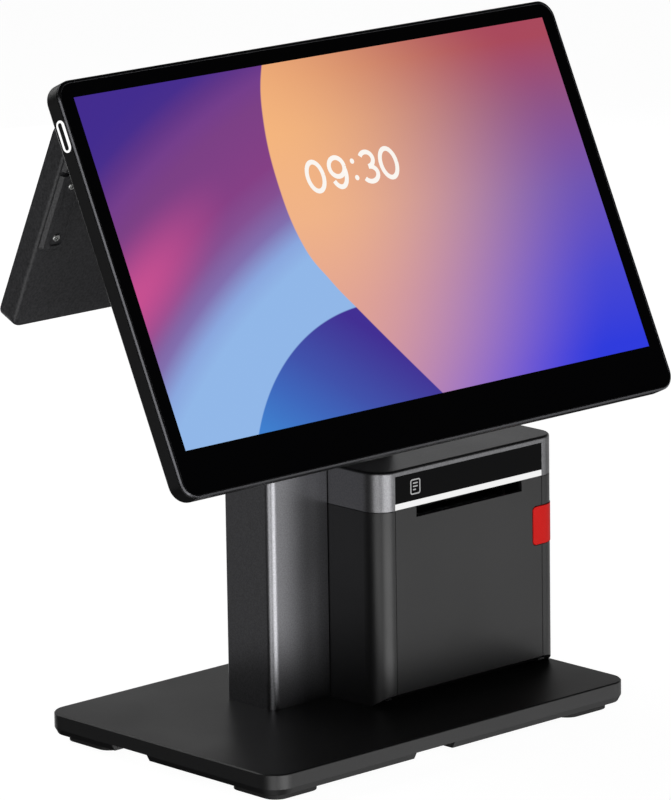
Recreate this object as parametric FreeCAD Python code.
import FreeCAD, Part
import math
import os

# Desktop point-of-sale terminal: a 15.6 inch touch display and a rear customer display form a
# tent on an L-shaped column; an 80 mm receipt printer stands beside the column on a flat base.
# Millimetres. X to the right, Y to the back, Z up, origin on the table under the base's centre.
# Heights below start from a datum plane just above the table; everything is lifted when written.

V = FreeCAD.Vector

# --- driving dimensions ---------------------------------------------------------------------
DATUM = 1.0                # height of the datum plane over the table
BASE_X = (-133.7, 134.9)
BASE_Y = (-92.8, 92.8)
BASE_R = 13.0
BASE_BOTTOM = 3.3
BASE_TOP = 15.0
BASE_BAND = 3.6            # height and inset of the bevelled lower band
BASE_BAND_INSET = 1.8
BASE_WALL = 3.5
FOOT_W = 34.5
FOOT_D = 37.4
FOOT_R = 8.0
FOOT_X = 109.3
FOOT_Y = 66.8
WEIGHT_T = 5.1             # steel plate inside the base
FRONT_NOTCH = (-30.0, -1.5)
SIDE_NOTCH = (8.4, 36.6)

COLUMN_X = (-47.7, -5.2)   # the lower leg
COLUMN_Y = (1.5, 38.0)
HEAD_X = 47.7              # half width of the part above the printer
COLUMN_TOP = 262.0
COLUMN_WALL = 3.0
COLUMN_R = 5.0             # front corners; the back ones are nearly sharp
COLUMN_BACK_R = 1.2

PRINTER_X = (-4.7, 133.5)
PRINTER_Y = (-38.9, 38.0)
PRINTER_R = 12.5
PRINTER_WALL = 2.5
SEAM_Z = 124.4
CAP_TOP = 146.7
DOOR_X = (7.8, 120.0)
DOOR_BOTTOM = 20.9
SLOT_X = (23.6, 104.5)
SLOT_Z = 118.4
BUTTON_X = 113.0
BUTTON_Z = (85.8, 107.5)
BUTTON_R = 2.2
BUTTON_GAP = 0.4
BUTTON_BACK = -20.0
BUTTON_TRAVEL = 2.0

DOOR_AXIS = (-32.0, 24.0)  # Y, Z
PLATEN_AXIS = (-28.0, 107.0)
PLATEN_R = 5.0
GEAR_MODULE = 0.8
PLATEN_TEETH = 16
DRIVE_TEETH = 24
GEAR_BACKLASH = 0.15
ROLL_AXIS = (-4.0, 60.0)
ROLL_R = 27.4
ROLL_W = 79.5
ROLL_X = 64.0

LEAN = 25.08               # backward lean of the main display, degrees
SCREEN_CENTRE = (0.0, -30.75, 282.32)
DISPLAY_U = 182.2
DISPLAY_V = (-122.3, 106.4)
DISPLAY_R = 10.0
RIM = 1.9
RIM_TOP = 0.3
GLASS_T = 1.0
KEY_V = 78.35              # power key in the left side: centre, and outer size of its light ring
KEY_N = -5.2
KEY_LENGTH = 17.5
KEY_WIDTH = 6.6
HOUSING_BACK = -12.0
HOUSING_FRONT = -1.5
HUB_U = 95.0
HUB_V = (-80.0, 60.0)
HUB_BACK = -24.0
TILT_AXIS = (10.0, 283.0)  # Y, Z

CUSTOMER_LEAN = 25.0
CUSTOMER_TOP = (0.0, 27.6, 355.0)
CUSTOMER_U = 170.0
CUSTOMER_H = 123.4
CUSTOMER_T = 12.3
CUSTOMER_R = 7.0
HINGE_DEPTH = 7.3          # pin centre below the customer display's outer face
HINGE_DROP = 6.0           # and below its top edge
BRACKET_U = 147.5
BRACKET_W = 15.0
COVER_T = 2.4              # hinge covers on the customer display's inner face
COVER_BEVEL = 1.8
SCREW_V = (-33.4, -66.0)   # their two screws

CLEARANCE = 0.2
PIN_CLEARANCE = 0.05


# --- helpers --------------------------------------------------------------------------------
def box(x, y, z):
    """Box from three (low, high) pairs."""
    return Part.makeBox(x[1] - x[0], y[1] - y[0], z[1] - z[0], V(x[0], y[0], z[0]))


def upright_edges(solid, test=None):
    """The edges along Z, or those whose centre passes a test."""
    picked = [e for e in solid.Edges if abs(e.tangentAt(e.FirstParameter).z) > 0.99]
    return [e for e in picked if test is None or test(e.CenterOfMass)]


def rounded(x, y, z, r, test=None):
    """Box with rounded edges along Z; test picks its corners."""
    solid = box(x, y, z)
    return solid.makeFillet(r, upright_edges(solid, test))


def rod(centre, r, x):
    """Cylinder along X; centre is (y, z)."""
    return Part.makeCylinder(r, x[1] - x[0], V(x[0], centre[0], centre[1]), V(1, 0, 0))


def pill(u, v, n, length, width, depth):
    """Pill-shaped block whose flat faces look along X."""
    r = width / 2
    straight = length - width
    solid = box((u, u + depth), (v - straight / 2, v + straight / 2), (n - r, n + r))
    for end in (v - straight / 2, v + straight / 2):
        solid = solid.fuse(rod((end, n), r, (u, u + depth)))
    return solid.removeSplitter()


def along_x(outline, x):
    """Extrude a (y, z) outline from x[0] to x[1]."""
    points = [V(x[0], y, z) for y, z in outline]
    face = Part.Face(Part.makePolygon(points + points[:1]))
    return face.extrude(V(x[1] - x[0], 0, 0))


def in_display(solid):
    """Move a solid from the screen's plane (u, v, n) to the terminal."""
    solid = solid.copy()
    solid.rotate(V(), V(1, 0, 0), 90 - LEAN)
    solid.translate(V(*SCREEN_CENTRE))
    return solid


def in_customer(solid):
    """Move a solid from the customer display's plane to the terminal."""
    solid = solid.copy()
    solid.rotate(V(), V(1, 0, 0), 90 - CUSTOMER_LEAN)
    solid.rotate(V(), V(0, 0, 1), 180)
    solid.translate(V(*CUSTOMER_TOP))
    return solid


def display_plane(y, z):
    """A (y, z) point as (v, n) in the main display's plane."""
    a = math.radians(LEAN)
    dy, dz = y - SCREEN_CENTRE[1], z - SCREEN_CENTRE[2]
    return dy * math.sin(a) + dz * math.cos(a), dz * math.sin(a) - dy * math.cos(a)


def gear(centre, teeth, x, bore):
    """Spur gear along X with straight-flanked teeth, one tooth pointing along +Y."""
    pitch_r = GEAR_MODULE * teeth / 2
    radii = (pitch_r - 1.2 * GEAR_MODULE, pitch_r, pitch_r + 0.8 * GEAR_MODULE)
    widths = (0.31, 0.21, 0.12)
    outline = []
    for tooth in range(teeth):
        for side in (-1, 1):
            order = range(3) if side < 0 else range(2, -1, -1)
            for i in order:
                a = (tooth + side * widths[i]) * 2 * math.pi / teeth
                outline.append((centre[0] + radii[i] * math.cos(a),
                                centre[1] + radii[i] * math.sin(a)))
    return along_x(outline, x).cut(rod(centre, bore, (x[0] - 1, x[1] + 1)))


parts = {}

# --- base -----------------------------------------------------------------------------------
pocket_x = (BASE_X[0] + BASE_WALL, BASE_X[1] - BASE_WALL)
pocket_y = (BASE_Y[0] + BASE_WALL, BASE_Y[1] - BASE_WALL)
band_top = BASE_BOTTOM + BASE_BAND
pocket_top = 12.1
cable_hole = (-26.0, 20.0)
front_channel = box(FRONT_NOTCH, (BASE_Y[0] - 1, 33.0), (BASE_BOTTOM - 1, band_top))
side_channel = box((BASE_X[0] - 1, FRONT_NOTCH[1]), SIDE_NOTCH, (BASE_BOTTOM - 1, band_top))


def at_height(z):
    return lambda e: abs(e.BoundBox.ZMin - z) < 1e-6 and abs(e.BoundBox.ZMax - z) < 1e-6


def cable_bore(r):
    return Part.makeCylinder(r, 30, V(cable_hole[0], cable_hole[1], 0))


def base_cover():
    solid = rounded(BASE_X, BASE_Y, (BASE_BOTTOM, BASE_TOP), BASE_R)
    low_edges = list(filter(at_height(BASE_BOTTOM), solid.Edges))
    solid = solid.makeChamfer(BASE_BAND - 0.2, BASE_BAND_INSET, low_edges)
    solid = solid.makeChamfer(0.6, list(filter(at_height(BASE_TOP), solid.Edges)))
    pocket = rounded(pocket_x, pocket_y, (BASE_BOTTOM - 1, pocket_top), BASE_R - BASE_WALL)
    return solid.cut(pocket).cut(front_channel).cut(side_channel).cut(cable_bore(12))


def plate_in_base(z):
    x = (pocket_x[0] + CLEARANCE, pocket_x[1] - CLEARANCE)
    y = (pocket_y[0] + CLEARANCE, pocket_y[1] - CLEARANCE)
    return rounded(x, y, z, BASE_R - BASE_WALL)


parts["base_cover"] = base_cover()
weight_z = band_top + 0.1
parts["base_weight"] = plate_in_base((weight_z, weight_z + WEIGHT_T)).cut(cable_bore(14))
corner = box((-200, FRONT_NOTCH[0]), (-200, SIDE_NOTCH[0]), (0, 20))
pan = plate_in_base((BASE_BOTTOM, band_top)).cut(front_channel).cut(side_channel)
parts["base_pan_main"] = pan.cut(corner)
parts["base_pan_corner"] = pan.common(corner)
for side, sx in (("left", -1), ("right", 1)):
    for end, sy in (("front", -1), ("rear", 1)):
        fx = (sx * FOOT_X - FOOT_W / 2, sx * FOOT_X + FOOT_W / 2)
        fy = (sy * FOOT_Y - FOOT_D / 2, sy * FOOT_Y + FOOT_D / 2)
        parts[f"foot_{end}_{side}"] = rounded(fx, fy, (-DATUM, BASE_BOTTOM), FOOT_R)


# --- column ---------------------------------------------------------------------------------
def column_form(inset):
    """Upside-down L: a leg beside the printer and a wide upper part above it."""
    y = (COLUMN_Y[0] + inset, COLUMN_Y[1] - inset)
    r = COLUMN_R - inset
    leg = rounded((COLUMN_X[0] + inset, COLUMN_X[1] - inset), y, (BASE_TOP, COLUMN_TOP), r,
                  lambda c: c.x < COLUMN_X[0] + COLUMN_R and c.y < COLUMN_Y[1] - COLUMN_R)
    top = rounded((COLUMN_X[0] + inset, HEAD_X - inset), y, (CAP_TOP + 0.3 + inset, COLUMN_TOP), r,
                  lambda c: c.y < COLUMN_Y[1] - COLUMN_R)
    solid = leg.fuse(top).removeSplitter()
    if inset < COLUMN_BACK_R:
        solid = solid.makeFillet(COLUMN_BACK_R - inset, upright_edges(solid, lambda c: c.y > COLUMN_Y[1] - 0.1))
    return solid


cover_x = (COLUMN_X[0] + 8, COLUMN_X[1] - 8)
cover_z = (24.0, 240.0)


def column_shell():
    window = box(cover_x, (COLUMN_Y[1] - COLUMN_WALL - 1, COLUMN_Y[1] + 1), cover_z)
    return column_form(0).cut(column_form(COLUMN_WALL)).cut(window)


def stand_head():
    """Closes the column and carries two ears around the tilt shaft."""
    inner = column_form(COLUMN_WALL + 0.1)
    plug = inner.common(box((-100, 100), (-100, 100), (COLUMN_TOP - 8, COLUMN_TOP)))
    lid = rounded((COLUMN_X[0], HEAD_X), COLUMN_Y, (COLUMN_TOP, COLUMN_TOP + 3), COLUMN_BACK_R,
                  lambda c: c.y > COLUMN_Y[1] - 1)
    lid = lid.makeFillet(COLUMN_R, upright_edges(lid, lambda c: c.y < COLUMN_Y[0] + 1))
    solid = plug.fuse(lid)
    for x in ((-39.0, -31.0), (31.0, 39.0)):
        foot = along_x([(1.6, COLUMN_TOP), (28.0, COLUMN_TOP), (TILT_AXIS[0] + 8.0, TILT_AXIS[1]),
                        (1.6, TILT_AXIS[1])], x)
        solid = solid.fuse(foot).fuse(rod(TILT_AXIS, 8.4, x))
    return solid.cut(rod(TILT_AXIS, 5.0, (-60, 60))).removeSplitter()


parts["column_shell"] = column_shell()
parts["column_back_cover"] = box((cover_x[0] + CLEARANCE, cover_x[1] - CLEARANCE),
                                 (COLUMN_Y[1] - COLUMN_WALL, COLUMN_Y[1] - 0.4),
                                 (cover_z[0] + CLEARANCE, cover_z[1] - CLEARANCE))
leg_inner = (COLUMN_X[0] + COLUMN_WALL + 0.1, COLUMN_X[1] - COLUMN_WALL - 0.1)
parts["column_foot"] = rounded(leg_inner, (COLUMN_Y[0] + 3.1, COLUMN_Y[1] - 3.1),
                               (BASE_TOP, BASE_TOP + 8), 3.4).cut(cable_bore(12))
parts["stand_head"] = stand_head()
shaft = rod(TILT_AXIS, 5.0, (-40, 40))
for x in ((-43, -40), (40, 43)):
    shaft = shaft.fuse(rod(TILT_AXIS, 7.5, x))
parts["tilt_shaft"] = shaft.removeSplitter()


# --- receipt printer ------------------------------------------------------------------------
def printer_form(inset, z, front=PRINTER_R, back=4.0):
    """The printer's footprint: large radii at the front corners, small ones at the back."""
    x = (PRINTER_X[0] + inset, PRINTER_X[1] - inset)
    y = (PRINTER_Y[0] + inset, PRINTER_Y[1] - inset)
    solid = rounded(x, y, z, front - inset, lambda c: c.y < 0)
    return solid.makeFillet(back - min(inset, back - 1), upright_edges(solid, lambda c: c.y > y[1] - 0.1))


def button_block(grow, back):
    """Room of the release button, open to the right, with two rounded corners on the front."""
    solid = box((BUTTON_X - grow, 140), (-45, back), (BUTTON_Z[0] - grow, BUTTON_Z[1] + grow))
    corners = [e for e in solid.Edges
               if abs(e.tangentAt(e.FirstParameter).y) > 0.99 and e.CenterOfMass.x < BUTTON_X + 1]
    return solid.makeFillet(BUTTON_R + grow, corners)


door_gap = box((DOOR_X[0] - CLEARANCE, DOOR_X[1] + CLEARANCE), (-45, -23.5), (BASE_TOP - 1, SEAM_Z + 1))
button_gap = button_block(BUTTON_GAP, BUTTON_BACK + BUTTON_TRAVEL + 0.3)
undercut = along_x([(-45, BASE_TOP - 1), (-45, 25.15), (PRINTER_Y[0], DOOR_BOTTOM), (-30.4, BASE_TOP),
                    (-29, BASE_TOP - 1)], (-10, 140))
io_x = (20.0, 110.0)
io_z = (20.0, 39.0)


def printer_housing():
    solid = printer_form(0, (BASE_TOP, SEAM_Z - 0.2))
    solid = solid.cut(printer_form(PRINTER_WALL, (BASE_TOP + PRINTER_WALL, SEAM_Z + 1)))
    solid = solid.cut(door_gap).cut(button_gap).cut(undercut)
    for x in ((3.0, DOOR_X[0] - 0.5), (DOOR_X[1] + 0.5, 124.8)):
        lug = box(x, (-35.0, -23.5), (BASE_TOP + PRINTER_WALL, 29.0))
        solid = solid.fuse(lug).cut(rod(DOOR_AXIS, 1.8, (x[0] - 0.1, x[1] + 0.1)))
    window = box(io_x, (PRINTER_Y[1] - PRINTER_WALL - 0.1, PRINTER_Y[1] + 1), io_z)
    return solid.cut(window).removeSplitter()


glass_x = (8.0, 120.1)
glass_z = (128.0, 143.2)
strip_z = (SEAM_Z + 0.2, 127.9)


def printer_top_cap():
    solid = printer_form(0, (SEAM_Z, CAP_TOP))
    solid = solid.makeFillet(1.6, list(filter(at_height(CAP_TOP), solid.Edges)))
    solid = solid.cut(printer_form(PRINTER_WALL, (SEAM_Z - 1, CAP_TOP - PRINTER_WALL)))
    glass_seat = box((glass_x[0] - 0.1, glass_x[1] + 0.1), (-45, PRINTER_Y[0] + 1.6),
                     (glass_z[0] - 0.1, glass_z[1] + 0.1))
    strip_seat = box((DOOR_X[0] - 0.1, DOOR_X[1] + 0.1), (-45, PRINTER_Y[0] + 2.1),
                     (SEAM_Z - 1, strip_z[1] + 0.05))
    return solid.cut(glass_seat).cut(strip_seat)


parts["printer_housing"] = printer_housing()
parts["printer_top_cap"] = printer_top_cap()
parts["printer_glass"] = box(glass_x, (PRINTER_Y[0], PRINTER_Y[0] + 1.5), glass_z)
parts["light_strip"] = box(DOOR_X, (PRINTER_Y[0] + 0.1, PRINTER_Y[0] + 2.0), strip_z)


def roll_bucket():
    """Trough for the paper roll: open to the front and the top, with a cheek at each end."""
    inner_r = ROLL_R + 0.8
    outer_r = inner_r + 1.5
    half = ROLL_W / 2 + 0.6
    inside = (ROLL_X - half, ROLL_X + half)
    whole = (inside[0] - 1.5, inside[1] + 1.5)
    low = along_x([(-22.0, BASE_TOP + PRINTER_WALL), (17.0, BASE_TOP + PRINTER_WALL), (17.0, 44.0),
                   (-22.0, 44.0)], whole)
    solid = rod(ROLL_AXIS, outer_r, whole).fuse(low)
    solid = solid.cut(rod(ROLL_AXIS, inner_r, inside))
    solid = solid.cut(box(inside, (-60, -22.0), (0, 200)))
    solid = solid.cut(box(inside, (-60, 60), (78.0, 200)))
    solid = solid.cut(box((0, 130), (-60, -31.0), (0, 200)))
    under = box((inside[0], inside[1]), (-20.0, 15.0), (10, 31.0))
    return solid.cut(under.cut(rod(ROLL_AXIS, outer_r, whole))).removeSplitter()


def mech_frame():
    """Channel that carries the print head, cutter and drive above the roll."""
    solid = box((16.0, 112.0), (-18.0, 32.0), (93.0, 95.0))
    for x in ((16.0, 18.0), (110.0, 112.0)):
        solid = solid.fuse(box(x, (-18.0, 32.0), (93.0, 121.0)))
    return solid.cut(rod((PLATEN_AXIS[0] + 16.1, PLATEN_AXIS[1]), 3.0, (15, 19))).removeSplitter()


gear_distance = GEAR_MODULE * (PLATEN_TEETH + DRIVE_TEETH) / 2 + GEAR_BACKLASH
drive_axis = (PLATEN_AXIS[0] + gear_distance, PLATEN_AXIS[1])
gear_x = (11.0, 14.0)

parts["roll_bucket"] = roll_bucket()
parts["mech_frame"] = mech_frame()
parts["thermal_head"] = box((26, 102), (-22.8, -19.8), (99, 114)).fuse(
    box((30, 98), (-19.8, -6), (99, 103))).removeSplitter()
parts["stepper_motor"] = rod(drive_axis, 8.0, (-1.8, 9.8)).cut(rod(drive_axis, 1.05, (2, 10)))
parts["drive_gear"] = gear(drive_axis, DRIVE_TEETH, gear_x, 0.5).fuse(
    rod(drive_axis, 1.0, (3, 16.0))).removeSplitter()
parts["cutter_blade"] = box((24, 104), (-17, 8), (116, 117))
parts["printer_board"] = box((126.0, 127.6), (-14, 32), (26, 80))


# --- sockets on the printer's back ----------------------------------------------------------
panel_y = (33.8, 35.4)
port_low = 21.5
sockets = {
    # name: (x low, width, height, opening width, opening height)
    "port_power": (24.0, 14.0, 14.0, 0.0, 0.0),
    "port_lan": (44.0, 16.0, 14.0, 11.8, 8.2),
    "port_drawer": (66.0, 14.0, 13.0, 9.8, 7.0),
    "port_usb": (86.0, 16.0, 15.6, 12.5, 5.2),
}
socket_back = 20.5


def socket_block(name):
    x0, width, height = sockets[name][:3]
    return box((x0, x0 + width), (socket_back, panel_y[1]), (port_low, port_low + height))


def socket(name):
    x0, width, height, open_w, open_h = sockets[name]
    middle = x0 + width / 2
    solid = socket_block(name)
    mouth = (24.0, panel_y[1] + 1)
    centre_z = port_low + height / 2
    if name == "port_power":
        return solid.cut(Part.makeCylinder(5.4, 12, V(middle, mouth[0], centre_z), V(0, 1, 0)))
    rows = (centre_z - 3.9, centre_z + 3.9) if name == "port_usb" else (centre_z,)
    for row in rows:
        hole = box((middle - open_w / 2, middle + open_w / 2), mouth, (row - open_h / 2, row + open_h / 2))
        solid = solid.cut(hole)
        if name == "port_usb":
            solid = solid.fuse(box((middle - 5.5, middle + 5.5), (mouth[0], panel_y[1] - 1), (row, row + 1.6)))
    return solid


panel = box((18.0, 112.0), panel_y, (18.0, 41.0))
for name in sockets:
    x0, width, height = sockets[name][:3]
    panel = panel.cut(box((x0 - 0.1, x0 + width + 0.1), (30, 40), (port_low - 0.1, port_low + height + 0.1)))
    parts[name] = socket(name)
parts["io_panel"] = panel


# --- printer door ---------------------------------------------------------------------------
door_face = PRINTER_Y[0]
door_inner = door_face + PRINTER_WALL


def printer_door():
    """Front skin with a bevelled foot, a notch for the paper and one for the button."""
    outline = [(door_face, SEAM_Z - 0.4), (door_face, DOOR_BOTTOM), (-34.4, 17.8), (-33.0, 19.6),
               (door_inner, 22.0), (door_inner, SEAM_Z - 0.4)]
    solid = along_x(outline, (DOOR_X[0] + CLEARANCE, DOOR_X[1] - CLEARANCE))
    solid = solid.cut(box(SLOT_X, (-45, -30), (SLOT_Z, SEAM_Z + 1)))
    return solid.cut(button_gap)


def door_frame():
    """Inner frame: hinge barrels at the foot and two arms that hold the platen's shaft."""
    frame_y = (door_inner, door_inner + 2.0)
    solid = box((14.5, 112.0), frame_y, (28.0, 112.0))
    window = box((26.0, 102.0), (frame_y[0] - 1, frame_y[1] + 1), (36.0, 96.0))
    solid = solid.cut(window)
    for x in ((19.5, 22.5), (105.5, 108.5)):
        solid = solid.fuse(box(x, (frame_y[0], PLATEN_AXIS[0] + 3.6), (100.5, 111.0)))
    for x in ((8.4, 16.5), (110.0, 119.4)):
        solid = solid.fuse(rod(DOOR_AXIS, 4.0, x))
        solid = solid.fuse(box(x, frame_y, (DOOR_AXIS[1], 36.0)))
    solid = solid.cut(rod(PLATEN_AXIS, 2.0 + PIN_CLEARANCE, (10, 120)))
    return solid.cut(rod(DOOR_AXIS, 1.8 + PIN_CLEARANCE, (8, 120))).removeSplitter()


parts["printer_door"] = printer_door()
parts["door_frame"] = door_frame()
parts["door_pin_left"] = rod(DOOR_AXIS, 1.8, (3.2, 16.0))
parts["door_pin_right"] = rod(DOOR_AXIS, 1.8, (110.5, 124.6))
parts["platen_roller"] = rod(PLATEN_AXIS, PLATEN_R, (24, 104)).cut(rod(PLATEN_AXIS, 2.0, (20, 110)))
parts["platen_shaft"] = rod(PLATEN_AXIS, 2.0, (10.5, 109.5))
platen_gear = gear(PLATEN_AXIS, PLATEN_TEETH, gear_x, 2.0)
platen_gear.rotate(V(0, *PLATEN_AXIS), V(1, 0, 0), 180 / PLATEN_TEETH)
parts["platen_gear"] = platen_gear
roll_x = (ROLL_X - ROLL_W / 2, ROLL_X + ROLL_W / 2)
parts["paper_roll"] = rod(ROLL_AXIS, ROLL_R, roll_x).cut(rod(ROLL_AXIS, 8.5, (0, 130)))
parts["paper_core"] = rod(ROLL_AXIS, 8.5, roll_x).cut(rod(ROLL_AXIS, 6.5, (0, 130)))


# --- release button -------------------------------------------------------------------------
def release_button():
    """Red cap that wraps round the printer's front right corner, slightly proud."""
    shell = printer_form(-0.3, BUTTON_Z).cut(printer_form(PRINTER_WALL, (80, 120)))
    return shell.common(button_block(0, BUTTON_BACK))


parts["release_button"] = release_button()
hook = box((121.5, 124.0), (PRINTER_Y[0] + PRINTER_WALL, -24), (92, 101))
hook = hook.fuse(box((114.2, 121.5), (-28.5, -26.0), (94, 99)))
parts["latch_hook"] = hook.cut(parts["release_button"]).removeSplitter()


# --- main display, in its own plane: u right, v up the screen, n out of the glass -----------
def display_form(inset, n, r=DISPLAY_R):
    u = (-DISPLAY_U + inset, DISPLAY_U - inset)
    v = (DISPLAY_V[0] + inset, DISPLAY_V[1] - inset)
    return rounded(u, v, n, r - inset)


def display_bezel():
    """Rim round the glass, with a ledge under it and a skirt inside the rear housing."""
    solid = display_form(0, (-GLASS_T, RIM_TOP))
    solid = solid.makeChamfer(0.8, list(filter(at_height(RIM_TOP), solid.Edges)))
    solid = solid.fuse(display_form(1.0, (HOUSING_FRONT + 0.1, -GLASS_T)))
    solid = solid.fuse(display_form(2.3, (-6.0, -GLASS_T)))
    solid = solid.cut(display_form(RIM - 0.1, (-GLASS_T, 2)))
    key_room = box((-DISPLAY_U, -DISPLAY_U + 6), (KEY_V - 10, KEY_V + 10), (-10, HOUSING_FRONT))
    return solid.cut(display_form(5.0, (-10, 2))).cut(key_room).removeSplitter()


def display_housing():
    """Rear shell with a rounded back edge and a raised hub for the mainboard."""
    solid = display_form(0, (HOUSING_BACK, HOUSING_FRONT))
    solid = solid.makeFillet(3.0, list(filter(at_height(HOUSING_BACK), solid.Edges)))
    hub = rounded((-HUB_U, HUB_U), HUB_V, (HUB_BACK, HOUSING_BACK + 1), 10)
    hub = hub.makeFillet(3.0, list(filter(at_height(HUB_BACK), hub.Edges)))
    solid = solid.fuse(hub)
    solid = solid.cut(display_form(2.1, (HOUSING_BACK + 2, 0)))
    hollow = rounded((-HUB_U + 2, HUB_U - 2), (HUB_V[0] + 2, HUB_V[1] - 2), (HUB_BACK + 2, -8), 8)
    solid = solid.cut(hollow)
    seat = pill(-DISPLAY_U - 1, KEY_V, KEY_N, KEY_LENGTH, KEY_WIDTH, 5)
    return solid.cut(seat).removeSplitter()


parts["display_bezel"] = in_display(display_bezel())
parts["touch_glass"] = in_display(display_form(RIM, (-GLASS_T, 0)))
parts["lcd_panel"] = in_display(rounded((-175.4, 175.4), (-102, 101), (-5.0, -1.8), 2))
parts["display_housing"] = in_display(display_housing())
parts["mainboard"] = in_display(box((-85, 85), (-68, 45), (-20.0, -18.4)))
for side, u in (("left", -150), ("right", 150)):
    parts[f"speaker_{side}"] = in_display(rounded((u - 20, u + 20), (-112, -92), (-9.8, -6.2), 3))
ring = pill(-DISPLAY_U - 0.15, KEY_V, KEY_N, KEY_LENGTH - 0.1, KEY_WIDTH - 0.1, 2.4)
parts["key_light_ring"] = in_display(ring.cut(pill(-DISPLAY_U - 1, KEY_V, KEY_N - 0.3, 15.5, 3.4, 5)))
parts["power_key"] = in_display(pill(-DISPLAY_U - 0.1, KEY_V, KEY_N - 0.3, 15.0, 2.9, 3.4))


def tilt_leaf():
    """Plate on the hub's back with the barrel that turns on the tilt shaft."""
    centre = display_plane(*TILT_AXIS)
    plate = rounded((-28, 28), (-14, 50), (HUB_BACK - 3, HUB_BACK), 4)
    web = box((-28, 28), (centre[0] - 6, centre[0] + 6), (centre[1], HUB_BACK - 2))
    solid = plate.fuse(web).fuse(rod(centre, 8.2, (-28, 28)))
    solid = solid.cut(rod(centre, 5.0 + PIN_CLEARANCE, (-30, 30)))
    return solid.removeSplitter()


lean = math.radians(CUSTOMER_LEAN)
hinge_v, hinge_n = display_plane(
    CUSTOMER_TOP[1] + HINGE_DROP * math.sin(lean) - HINGE_DEPTH * math.cos(lean),
    CUSTOMER_TOP[2] - HINGE_DROP * math.cos(lean) - HINGE_DEPTH * math.sin(lean))


def customer_bracket(sign):
    """Foot on the main display's back and a round eye at the customer display's pin."""
    low, high = sorted((sign * (BRACKET_U - BRACKET_W / 2), sign * (BRACKET_U + BRACKET_W / 2)))
    plate = rounded((low, high), (58, 92), (HOUSING_BACK - 2, HOUSING_BACK), 3)
    arm = box((low, high), (hinge_v - 3, hinge_v + 3), (hinge_n, HOUSING_BACK - 1))
    solid = plate.fuse(arm).fuse(rod((hinge_v, hinge_n), 4.2, (low, high)))
    return solid.cut(rod((hinge_v, hinge_n), 1.75 + PIN_CLEARANCE, (low - 1, high + 1))).removeSplitter()


parts["tilt_leaf"] = in_display(tilt_leaf())
parts["hinge_bracket_left"] = in_display(customer_bracket(-1))
parts["hinge_bracket_right"] = in_display(customer_bracket(1))


# --- customer display, in its own plane: v up the slab from its top edge, n outwards --------
pin_centre = (-HINGE_DROP, -HINGE_DEPTH)
glass_t = 1.5


def customer_form(inset, n):
    u = (-CUSTOMER_U + inset, CUSTOMER_U - inset)
    return rounded(u, (-CUSTOMER_H + inset, -inset), n, CUSTOMER_R - inset)


def customer_housing():
    """Shell with a rounded top edge, notched where the hinge eyes stand."""
    solid = customer_form(0, (-CUSTOMER_T, 0))
    back = [e for e in solid.Edges if at_height(-CUSTOMER_T)(e)]
    solid = solid.makeFillet(2.5, back)
    top = box((-200, 200), (-3.6, 1), (-20, -CUSTOMER_T + 3.6))
    solid = solid.cut(top.cut(rod((-3.6, -CUSTOMER_T + 3.6), 3.6, (-200, 200))))
    solid = solid.cut(customer_form(1.4, (-glass_t - 0.1, 1)))
    solid = solid.cut(rounded((-CUSTOMER_U + 22, CUSTOMER_U - 22), (-CUSTOMER_H + 4, -4),
                              (-CUSTOMER_T + 2.5, 1), 4).common(
                                  box((-139, 139), (-200, 0), (-20, 2))))
    for sign in (-1, 1):
        centre = sign * BRACKET_U
        half = BRACKET_W / 2 + 0.4
        notch = box((centre - half, centre + half), (-12.5, 2), (-20, -2.2))
        solid = solid.cut(notch)
        pin = rod(pin_centre, 1.75, (centre - 12, centre + 12))
        solid = solid.cut(pin)
    return solid.removeSplitter()


def customer_plate():
    """Cover over the right hinge bracket: bevelled outer edge, a sunk floor for two screws, a finger slot."""
    top = -CUSTOMER_T - COVER_T
    outer = 168.6
    solid = rounded((151.0, outer), (-74.5, -22.0), (top, -CUSTOMER_T), 4)
    solid = solid.fuse(box((156.2, outer), (-30.0, -12.0), (top, -CUSTOMER_T))).removeSplitter()
    edge = [e for e in solid.Edges if at_height(top)(e) and e.BoundBox.XMin > outer - 0.01]
    solid = solid.makeChamfer(COVER_BEVEL, edge)
    sunk = rounded((153.2, 163.6), (SCREW_V[1] - 4.6, SCREW_V[0] + 4.6), (top - 1, top + 1), 3.5)
    slot = box((159.5, outer + 1), (-26.0, -23.4), (top - 1, -CUSTOMER_T - 0.4))
    return solid.cut(sunk).cut(slot)


parts["customer_housing"] = in_customer(customer_housing())
parts["customer_glass"] = in_customer(customer_form(1.5, (-glass_t, 0)))
parts["customer_lcd"] = in_customer(box((-138, 138), (-116, -6), (-5.0, -1.8)))
for side, sign in (("left", 1), ("right", -1)):
    cover = customer_plate() if sign > 0 else customer_plate().mirror(V(), V(1, 0, 0))
    parts[f"hinge_cover_{side}"] = in_customer(cover)
    centre = sign * BRACKET_U
    parts[f"hinge_pin_{side}"] = in_customer(rod(pin_centre, 1.75, (centre - 11.8, centre + 11.8)))

# --- write every sub-part -------------------------------------------------------------------
os.makedirs("parts", exist_ok=True)
for name, shape in parts.items():
    shape = shape.translated(V(0, 0, DATUM))
    if len(shape.Solids) != 1 or not shape.isValid():
        print("check", name, len(shape.Solids), shape.isValid())
    shape.exportStep(f"parts/{name}.step")
print(len(parts), "sub-parts")
